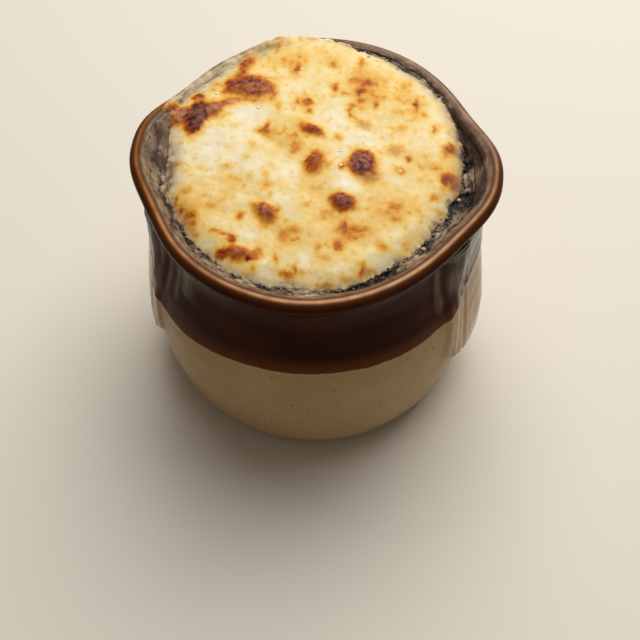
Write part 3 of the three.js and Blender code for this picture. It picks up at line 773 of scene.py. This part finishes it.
def ring_radius(angle):
    """Radius of the inner wall at the broth's ring."""
    (upper_r, upper_z), (lower_r, lower_z) = [
        (radius + rim_shift(angle, height)[0], height + rim_shift(angle, height)[1])
        for radius, height in inner_wall(GAP)[:2]
    ]
    return lerp(lower_r, upper_r, (BROTH_RING - lower_z) / (upper_z - lower_z))


def broth_top(radius):
    return lerp(BROTH_LEVEL, BROTH_RING, np.clip((radius - RING_START) / (RING_END - RING_START), 0, 1))


def crust_under(angle, radius):
    on_the_lip = radius > ring_radius(angle) + LIP_ROLL
    return np.where(on_the_lip, LIP_HEIGHT - LIP_ROLL, broth_top(radius + 1.5) + GAP)


def over_lip(angle, radius):
    """How far outside the middle of the lip's roll a point is, and the lip's own height there."""
    outward, upward = rim_shift(angle, EAR_FULL)
    beyond = radius - LIP_CENTRE[0] - outward
    roll = np.sqrt(np.clip(LIP_ROLL ** 2 - beyond ** 2, 0, None))
    return beyond, LIP_CENTRE[1] + upward + roll


def froth_level(y):
    return FROTH_LEVEL + FROTH_TILT * y + FROTH_RISE * np.maximum(y - FROTH_RISE_START, 0)


def even_edge(angle):
    """Radius of the crust's edge before it is made ragged."""
    return knotted_curve(CRUST_OUTLINE, angle)


def crust_edge(angle):
    """Radius of the crust's ragged edge, which is smooth and thin where it is on the lip."""
    edge_line = around(angle, CRUST_HALF_SPAN)
    ragged = 0.9 * rough(edge_line, 6, 3, 11) + 0.45 * rough(edge_line, 1.7, 2, 5)
    even = even_edge(angle)
    beyond, _ = over_lip(angle, even)
    return even + np.where(beyond > 0, np.minimum(ragged * 0.4, 0), ragged)


def crust_top(angle, radius, inward, rise, skin):
    """Height of the melted cheese: open, thinning out to its edge, or lying on the lip."""
    points = around(angle, radius)
    x, y = points[:, 0], points[:, 1]
    dome = CRUST_DOME * (1 - np.minimum(1, radius / CRUST_HALF_SPAN) ** 2)
    swell = 0.16 * (np.sin(x / 3.1 + 1) * np.cos(y / 3.7) + np.sin((x + y) / 4.9))
    melt = 0.20 * rough(points, 6, 2, 9) + 0.06 * rough(points, 2.2, 2, 7)
    wrinkle = 0.16 * skin * rough(points, 0.9, 2, 13)
    relief = swell + rise + melt + wrinkle
    beyond, lip_top = over_lip(angle, radius)
    hangs = smoothstep(beyond + inward, -2.5, -0.5)
    steep = 1 - (1 - np.clip(inward / EDGE_TAPER, 0, 1)) ** 2
    rounding = lerp(steep, smoothstep(inward, 0, EDGE_TAPER + 1.5), facing(angle, *AT_LEFT_EAR))
    open_height = CRUST_LEVEL + CRUST_TILT * y + dome + relief
    free = lerp(froth_level(y) - 0.2 + 0.3 * relief, open_height, np.maximum(rounding, hangs))
    film = lerp(*LIP_FILM, facing(angle, *BEHIND)) * (1 + 0.35 * rough(points, 3, 2, 21))
    thickness = film * (1 - (1 - np.clip(inward / 1.2, 0, 1)) ** 2)
    top = lerp(free, lip_top + thickness, smoothstep(beyond, -3.4, -0.6))
    return np.minimum(top, CRUST_TOP_LIMIT)


def skirted_grid():
    """A bmesh of a fine square grid, its rim drawn down and closed below, and which vertices are on top."""
    bm = bmesh.new()
    bmesh.ops.create_grid(bm, x_segments=CRUST_CELLS, y_segments=CRUST_CELLS, size=1)
    level = bm.verts.layers.float.new("level")
    for vert in bm.verts:
        vert[level] = 1
    rim = [edge for edge in bm.edges if edge.is_boundary]
    lower = bmesh.ops.extrude_edge_only(bm, edges=rim)["geom"]
    for vert in (item for item in lower if isinstance(item, bmesh.types.BMVert)):
        vert[level] = 0
    bottom = [item for item in lower if isinstance(item, bmesh.types.BMEdge) and item.is_boundary]
    bmesh.ops.edgeloop_fill(bm, edges=bottom)
    return bm, np.array([v[level] for v in bm.verts]) > 0.5


def square_to_round(bm):
    """Angle and share of the way out of a square grid's vertices, each square ring of cells made round."""
    x, y, _ = np.array([v.co for v in bm.verts]).T
    near_x_axis = np.abs(x) >= np.abs(y)
    lead = np.where(near_x_axis, x, y)
    side = np.where(near_x_axis, y, x)
    swing = math.pi / 4 * side / np.where(lead == 0, 1, lead)
    angle = np.where(near_x_axis, swing, math.pi / 2 - swing) + np.where(lead < 0, math.pi, 0)
    return angle, np.abs(lead)


def filmed_edge(angle, radius, inward, brown):
    """How much broth has greyed the cheese along its edge, and how streaky it is on the lip."""
    beyond, _ = over_lip(angle, radius)
    back_left = smoothstep(angle % FULL_TURN, BACK_LEFT_START, BACK_LEFT_FULL)
    on_lip = smoothstep(beyond, -6.5, -1.0) * (beyond + inward > -1) * back_left
    on_lip = on_lip * (1 - smoothstep(brown, 0.2, 0.5))
    left_ear = facing(angle, *LEFT_EAR_EDGE)
    back_right = facing(angle, *BACK_RIGHT_EDGE)
    width = 2.6 + 2.4 * left_ear + 2.4 * back_right + 1.6 * rough(around(angle, radius), 4, 2, 17)
    film = 1 - smoothstep(inward - 1.6 * left_ear, 0.0, width)
    film = film * (1 + 0.7 * left_ear + 0.6 * back_right) * (beyond + inward < -0.5)
    streaks = rough(np.stack([angle * 7, radius * 0.9, 0 * angle], axis=1), 1, 3, 31)
    return np.maximum(film, 1.15 * on_lip), on_lip * smoothstep(streaks, 0.0, 0.5)


def make_crust(material):
    """The cheese as one closed piece: its modelled top, and an under side that clears the broth."""
    bm, is_top = skirted_grid()
    angle, share = square_to_round(bm)
    even = even_edge(angle)
    ragged = crust_edge(angle) - even
    radius = share * even + ragged * smoothstep(share, 0.90, 1)
    inward = np.maximum(even - radius + ragged * smoothstep(share, 0.96, 1), 0)
    brown, skin, warm, rise = toast_crust(around(angle, radius))
    top = crust_top(angle, radius, inward, rise, skin)
    under = np.minimum(crust_under(angle, radius), top - 0.05)
    write_places(bm, around(angle, radius, np.where(is_top, top, under)))
    bmesh.ops.recalc_face_normals(bm, faces=bm.faces)
    film, streaks = filmed_edge(angle, radius, inward, brown)
    fields = {"brown": brown, "skin": skin, "warm": warm, "film": film, "streaks": streaks}
    return finish_piece(bm, "melted_cheese", material, ["cheese_crust"], fields)


def cheese_material():
    """Creamy melted cheese, from pale through gold and rust to dark brown as it is toasted."""
    material, tree = new_material("melted_cheese")
    specks = tree.times(tree.step(tree.mottle(2.2, 1.8, 7, detail=1), 0.55, 1.0), 0.22)
    base = tree.plus(tree.sway(0.20, 7.0, 2.2, 1, detail=1), tree.sway(0.13, 2.0, 2.4, 2, detail=2))
    base = tree.plus(base, tree.plus(tree.field("warm"), 0.11))
    charred = tree.times(tree.sway(0.25, 1.3, 3.0, 4, detail=2), tree.field("brown"))
    untoasted = tree.math("SUBTRACT", 1.0, tree.field("brown"), clamp=True)
    under = tree.times(tree.plus(base, specks), untoasted)
    toast = tree.plus(tree.plus(tree.field("brown"), charred), under, clamp=True)
    colour = tree.ramp(toast, (
        (0.00, srgb(248, 240, 218)), (0.12, srgb(247, 231, 188)), (0.24, srgb(244, 217, 150)),
        (0.36, srgb(241, 202, 116)), (0.48, srgb(235, 182, 84)), (0.58, srgb(224, 158, 56)),
        (0.68, srgb(206, 126, 32)), (0.78, srgb(180, 90, 24)), (0.87, srgb(146, 60, 26)),
        (0.94, srgb(108, 42, 30)), (1.00, srgb(60, 24, 20)),
    ))
    veins = tree.step(tree.mottle(1.6, 2.8, 9, detail=3), 0.25, 0.75)
    dull = tree.mix(veins, srgb(82, 42, 36), srgb(184, 132, 112))
    colour = tree.mix(tree.times(tree.field("skin"), 0.75), colour, dull)
    film = tree.times(tree.field("film"), tree.step(tree.mottle(2.4, 2.0, 15), 0.15, 0.65, 0.60, 1.0))
    greyed = tree.mix(tree.mottle(3.4, 2.4, 18), srgb(146, 122, 98), srgb(212, 190, 154))
    darkened = tree.mix(tree.mottle(1.5, 2.8, 19), srgb(84, 66, 54), srgb(168, 145, 118))
    greyed = tree.mix(tree.step(film, 0.7, 1.6), greyed, darkened)
    colour = tree.mix(tree.times(film, 0.7, clamp=True), colour, greyed)
    colour = tree.mix(tree.times(tree.field("streaks"), 0.7), colour, srgb(112, 76, 48))
    roughness = tree.step(tree.mottle(3, 2, 21), 0.2, 0.8, 0.34, 0.52)
    normal = tree.bump(tree.mottle(2.6, 2.0, 23), 0.06)
    normal = tree.bump(tree.mottle(0.7, 2.0, 25), 0.03, under=normal)
    close_material(
        tree, Base_Color=colour, Roughness=roughness, Normal=normal, Subsurface_Weight=0.15,
        Subsurface_Radius=(1.0, 0.55, 0.25), Subsurface_Scale=1.0 * MM, Specular_IOR_Level=0.14,
    )
    return material


# ------------------------------------------------------------------------------------------- broth
def make_broth(material):
    wall = inner_wall(GAP)[1:][::-1]
    face = [(RING_END, BROTH_RING), (RING_START, BROTH_LEVEL), (0, BROTH_LEVEL)]
    section = [(0, FLOOR_THICKNESS + GAP)] + wall + [(ring_radius(0), BROTH_RING)] + face
    bm = spin_section(section, BROTH_STEPS)
    angle, radius, height, row = read_places(bm, section)
    outward, upward = rim_shift(angle, height)
    at_wall = row == 1 + len(wall)
    on_wall = (row > 0) & (row <= len(wall))
    new_radius = np.where(at_wall, ring_radius(angle), radius + outward * on_wall)
    write_places(bm, around(angle, new_radius, height + upward * on_wall))
    return finish_piece(bm, "onion_broth", material, ["soup"])


def wall_path():
    """Radius and height along the inside of the throat and up over the lip, and the way gone."""
    path = np.array([THROAT_INSIDE[0]] + arc(LIP_CENTRE, (LIP_ROLL, LIP_ROLL), 190, 90, 14))
    return *path.T, np.concatenate([[0], np.cumsum(np.hypot(*np.diff(path, axis=0).T))])


def froth_relief(points):
    """Height of the froth's bubbles and wrinkles. Where it is black, burnt and in painted shade, it has sunk
    and cracked.
    """
    wrinkles = 0.36 * rough(drawn_along(points), 1.5, 3, 6)
    return 0.10 * foam(points, 1.7, 3) - 0.06 + wrinkles - 0.6 * (1 - smoothstep(froth_shade(points), 0, 0.2))


def drawn_along(points):
    """The points pressed together along the ring, so that noise read there is drawn out along it."""
    x, y, height = points.T
    return np.stack([np.arctan2(y, x) * 16, np.hypot(x, y), height], axis=1)


def froth_shade(points):
    """From 0, black, to 1, pale and greasy: burnt froth, with painted shade in the deep pocket by the right
    ear.
    """
    x, y = points[:, 0], points[:, 1]
    total = np.full_like(x, 0.02)
    shade = np.full_like(x, 0.008)
    for spot_x, spot_y, reach, value in FROTH_SHADES:
        weight = np.exp(-((x - spot_x) ** 2 + (y - spot_y) ** 2) / reach ** 2)
        total += weight
        shade += weight * value
    return shade / total + 0.16 * rough(points, 2.6, 2, 37)


def make_froth(material):
    """The ring of froth baked hard between the crust and the wall, and dried on up the wall."""
    rows = FROTH_FLAT_ROWS + FROTH_CLIMB_ROWS
    # A plain ring with as many rows as are needed. Each row's own place is worked out below.
    upper = [(FROTH_MIDDLE - 5 + index * 0.1, FROTH_LEVEL) for index in range(rows)]
    section = upper + [(FROTH_MIDDLE, FROTH_BOTTOM), (FROTH_MIDDLE - 5, FROTH_BOTTOM)]
    bm = spin_section(section, FROTH_STEPS, closed=True)
    angle, _, _, row = read_places(bm, section)
    edge_line = around(angle, FROTH_MIDDLE)
    uneven = 0.5 * rough(edge_line, 4, 3, 41) + 0.25 * rough(edge_line, 1.2, 2, 43)
    path_radius, path_height, path_way = wall_path()
    limit = np.clip(knotted_curve(FROTH_CLIMB, angle) + uneven, *FROTH_CLIMB_LIMITS)
    top_r, top_z = np.interp(limit, path_way, path_radius), np.interp(limit, path_way, path_height)
    outward, upward = rim_shift(angle, top_z)
    top_r, top_z = top_r + outward, top_z + upward
    level = froth_level(CRUST_HALF_SPAN * np.sin(angle))
    wall_r = np.interp(level - upward, path_height, path_radius) + outward
    foot = wall_r - knotted_curve(FROTH_FOOT, angle)
    inner = np.minimum(even_edge(angle), foot) - FROTH_UNDER_CRUST
    # The level part runs on into a curve up the wall.
    share = np.clip(row / (FROTH_FLAT_ROWS - 1), 0, 1)
    climb = np.clip((row - FROTH_FLAT_ROWS + 1) / FROTH_CLIMB_ROWS, 0, 1)
    bend = foot - FROTH_BEND
    radius = lerp(inner, bend, share) + climb * (2 * (foot - bend)) + climb ** 2 * (top_r - 2 * foot + bend)
    height = level + climb ** 2 * (top_z - level)
    flat = around(angle, radius, height - level)
    calm = knotted_curve(FROTH_CALM, angle) * smoothstep(climb, 0.1, 0.45)
    relief = froth_relief(flat) * (1 - 0.9 * calm) + 0.10 * calm * rough(flat, 2.5, 2, 47)
    edge = crust_edge(angle)
    crack_line = edge + 0.6 + 0.8 * rough(edge_line, 3.5, 3, 45)
    crack = knotted_curve(FROTH_CRACK, angle) * np.exp(-((radius - crack_line) / 0.35) ** 2)
    drawn = drawn_along(flat)
    lace = smoothstep(rough(drawn, 1.6, 2, 53), 0.05, 0.6) * np.exp(-((radius - edge) / 1.4) ** 2)
    creases = (1 - smoothstep(np.abs(rough(drawn, 2.6, 2, 63)), 0.0, 0.15)) * (1 - 0.8 * calm)
    streaks = rough(drawn, 1.3, 2, 61) * (1 - 0.8 * calm)
    # The crack and the creases are grooved, and darkened in colour as painted shade in them.
    shade = froth_shade(flat) + 0.2 * lace - 0.6 * crack - 0.45 * creases + 0.25 * streaks
    fading = smoothstep(1 - climb, 0, 0.16)
    relief = (relief - 0.6 * crack + 0.2 * lace - 0.2 * creases) * fading
    height = height + (1 - 0.6 * climb) * relief
    wall = np.interp(height - upward, path_height, path_radius) + outward
    radius = np.minimum(radius - 0.2 * climb * relief, wall - (0.30 + 0.7 * relief) * fading - 0.02)
    radius = np.where(row == rows, foot - 1, np.where(row == rows + 1, inner, radius))
    write_places(bm, around(angle, radius, np.where(row >= rows, FROTH_BOTTOM, height)))
    fields = {"froth": relief, "shade": shade, "calm": calm * (row < rows), "climb": climb * (row < rows)}
    return finish_piece(bm, "baked_froth", material, fields=fields)


def froth_material():
    """Broth baked to a black, greasy froth, paler on top of its bubbles as a painted highlight."""
    material, tree = new_material("baked_froth")
    # Paler where the froth stands higher: the pale lace, and a painted highlight on the bubble tops.
    shade = tree.plus(tree.field("shade"), tree.times(tree.field("froth"), 0.45))
    shade = tree.plus(shade, tree.sway(0.40, 2.0, 2.4, 31))
    colour = tree.ramp(shade, (
        (0.02, srgb(24, 15, 10)), (0.20, srgb(66, 50, 38)), (0.42, srgb(116, 96, 76)),
        (0.65, srgb(152, 131, 104)), (0.95, srgb(186, 165, 134)),
    ))
    tan = tree.times(tree.step(tree.field("climb"), 0.80, 1.0), 0.35)
    colour = tree.mix(tan, colour, srgb(146, 104, 70))
    # Smooth on the wall it is grey-brown: dried froth with a painted reflection of the glaze.
    cloudy = tree.plus(tree.field("shade"), tree.sway(0.30, 4, 2.2, 38))
    wall_film_and_sheen = tree.mix(tree.step(cloudy, 0.0, 0.9), srgb(78, 61, 52), srgb(172, 149, 126))
    wall_film_and_sheen = tree.mix(tree.step(tree.mottle(1.0, 2.8, 39), 0.72, 0.9), wall_film_and_sheen, srgb(60, 40, 30))
    colour = tree.mix(tree.field("calm"), colour, wall_film_and_sheen)
    normal = tree.bump(tree.mottle(0.7, 2.2, 35), 0.10)
    close_material(tree, Base_Color=colour, Roughness=0.42, Normal=normal, Specular_IOR_Level=0.2)
    return material


def broth_material():
    """Dark onion broth, seen only where the froth has cracked."""
    material, tree = new_material("onion_broth")
    colour = tree.mix(tree.mottle(4, 2, 33), srgb(24, 14, 9), srgb(60, 36, 22))
    close_material(tree, Base_Color=colour, Roughness=0.2, Normal=tree.bump(tree.mottle(3, 2, 36), 0.1))
    return material


def froth_band(angle):
    """Inner and outer radius between which bubbles stand in the froth."""
    return even_edge(angle) - 0.5, ring_radius(angle) - 0.3


def make_bubbles(material):
    """Bubbles left standing in the froth, and a few oily ones on the cheese."""
    bm = bmesh.new()
    bmesh.ops.create_icosphere(bm, subdivisions=2, radius=1)
    everything = bm.verts[:] + bm.edges[:] + bm.faces[:]
    bmesh.ops.bisect_plane(bm, geom=everything, plane_co=(0, 0, -0.4), plane_no=(0, 0, -1), clear_outer=True)
    bmesh.ops.edgeloop_fill(bm, edges=[edge for edge in bm.edges if edge.is_boundary])
    number = bm.verts.layers.float.new("number")
    for doubling in range(BUBBLE_DOUBLINGS):
        copies = bmesh.ops.duplicate(bm, geom=bm.verts[:] + bm.edges[:] + bm.faces[:])["geom"]
        for vert in (item for item in copies if isinstance(item, bmesh.types.BMVert)):
            vert[number] += 2 ** doubling
    draw = np.random.default_rng(SEED)
    count = 2 ** BUBBLE_DOUBLINGS
    angle = draw.uniform(0, FULL_TURN, count)
    size = 0.18 + 0.36 * draw.uniform(size=count) ** 2.5
    inner, outer = froth_band(angle)
    radius = lerp(inner, outer, draw.uniform(size=count))
    # Where the cheese covers the ring, and in the left ear, there are none: these move to the front.
    hidden = (inner > outer - 1) | (between_angles(angle, math.pi) < EAR_WITHOUT_BUBBLES)
    angle = np.where(hidden, draw.uniform(*FRONT_ARC, count), angle)
    radius = np.where(hidden, lerp(*froth_band(angle), draw.uniform(size=count)), radius)
    place = around(angle, radius)
    place[:, 2] = froth_level(place[:, 1]) + froth_relief(place)
    on_cheese_and_glint = np.zeros(count)
    for index, (x, y, bubble) in enumerate(OILY_BUBBLES):
        spot = np.array([[x, y, 0.0]])
        turn, reach = np.arctan2(spot[:, 1], spot[:, 0]), np.hypot(spot[:, 0], spot[:, 1])
        _, skin, _, rise = toast_crust(spot)
        # Near the edge they are darker, and stand out of the cheese more.
        on_cheese_and_glint[index] = 1.0 if reach[0] < OILY_RADIUS else 0.4
        top = crust_top(turn, reach, even_edge(turn) - reach, rise, skin)[0]
        place[index] = x, y, top - 0.35 * bubble * on_cheese_and_glint[index]
        size[index] = bubble
    island = np.rint([v[number] for v in bm.verts]).astype(int)
    ball = np.array([v.co for v in bm.verts])
    write_places(bm, place[island] + ball * (size[island][:, None] * (1, 1, 0.75)))
    fields = {"on_cheese_and_glint": on_cheese_and_glint[island], "shade": froth_shade(place)[island]}
    return finish_piece(bm, "froth_bubbles", material, fields=fields)


def bubble_material():
    """Greasy bubbles, nearly black to a cloudy tan in the froth, and on the cheese pale honey brightened to
    near white as a painted highlight.
    """
    material, tree = new_material("froth_bubbles")
    shade = tree.plus(tree.field("shade"), tree.sway(0.6, 1.4, 3, 41), clamp=True)
    colour = tree.mix(shade, srgb(44, 33, 26), srgb(176, 156, 128))
    # The oily bubbles are painted near white: their honey colour with a painted highlight.
    colour = tree.mix(tree.field("on_cheese_and_glint"), colour, srgb(250, 230, 188))
    close_material(tree, Base_Color=colour, Roughness=0.22, Specular_IOR_Level=0.3)
    return material


# -------------------------------------------------------------- floor, light and camera, in metres
FLOOR_HALF_WIDTH = 6.0
SOFTBOX_PLACE = Vector((0.10, 0.42, 0.80))
SOFTBOX_AIM = Vector((0, 0, 0.06))
SOFTBOX_WIDTH = 0.9
SOFTBOX_POWER = 9.45
SKY_STRENGTH = 0.15
CAMERA_PLACE = Vector((30.8, -245.2, 370.7)) * MM
CAMERA_AZIMUTH, CAMERA_ELEVATION, CAMERA_ROLL = (math.radians(turn) for turn in (6.74, 56.0, 0.34))
CAMERA_LENS, CAMERA_SENSOR = 74.92, 36


def make_floor():
    bm = bmesh.new()
    bmesh.ops.create_grid(bm, x_segments=1, y_segments=1, size=FLOOR_HALF_WIDTH)
    mesh = bpy.data.meshes.new("floor")
    bm.to_mesh(mesh)
    bm.free()
    material, tree = new_material("pale_floor")
    close_material(tree, Base_Color=srgb(236, 230, 220), Roughness=0.6)
    mesh.materials.append(material)
    floor = bpy.data.objects.new("floor", mesh)
    bpy.context.scene.collection.objects.link(floor)


def looking(place, direction):
    """Matrix of a lamp or camera at a place, facing a direction, with its own top side up."""
    return Matrix.Translation(place) @ direction.to_track_quat("-Z", "Y").to_matrix().to_4x4()


def light_studio():
    """One large warm softbox above and behind, and a faint warm sky."""
    world = bpy.data.worlds.new("studio")
    world.use_nodes = True
    background = world.node_tree.nodes["Background"]
    background.inputs["Color"].default_value = (1.0, 0.88, 0.74, 1)
    background.inputs["Strength"].default_value = SKY_STRENGTH
    bpy.context.scene.world = world
    light = bpy.data.lights.new("overhead_softbox", "AREA")
    light.shape = "SQUARE"
    light.size = SOFTBOX_WIDTH
    light.energy = SOFTBOX_POWER
    light.color = (1.0, 0.975, 0.93)
    lamp = bpy.data.objects.new("overhead_softbox", light)
    lamp.matrix_world = looking(SOFTBOX_PLACE, SOFTBOX_AIM - SOFTBOX_PLACE)
    bpy.context.scene.collection.objects.link(lamp)
    bpy.context.scene.view_settings.view_transform = "Standard"


def set_camera():
    """The camera looks down past the front edge, from a little to the right of the front."""
    level = math.cos(CAMERA_ELEVATION)
    back = Vector((
        math.sin(CAMERA_AZIMUTH) * level, -math.cos(CAMERA_AZIMUTH) * level, math.sin(CAMERA_ELEVATION),
    ))
    data = bpy.data.cameras.new("camera")
    data.lens = CAMERA_LENS
    data.sensor_width = CAMERA_SENSOR
    data.clip_start, data.clip_end = 0.01, 20
    camera = bpy.data.objects.new("camera", data)
    camera.matrix_world = looking(CAMERA_PLACE, -back) @ Matrix.Rotation(CAMERA_ROLL, 4, "Z")
    bpy.context.scene.collection.objects.link(camera)
    bpy.context.scene.camera = camera


set_camera()
light_studio()
make_floor()
make_crock(glaze_material())
make_crust(cheese_material())
make_broth(broth_material())
make_froth(froth_material())
make_bubbles(bubble_material())
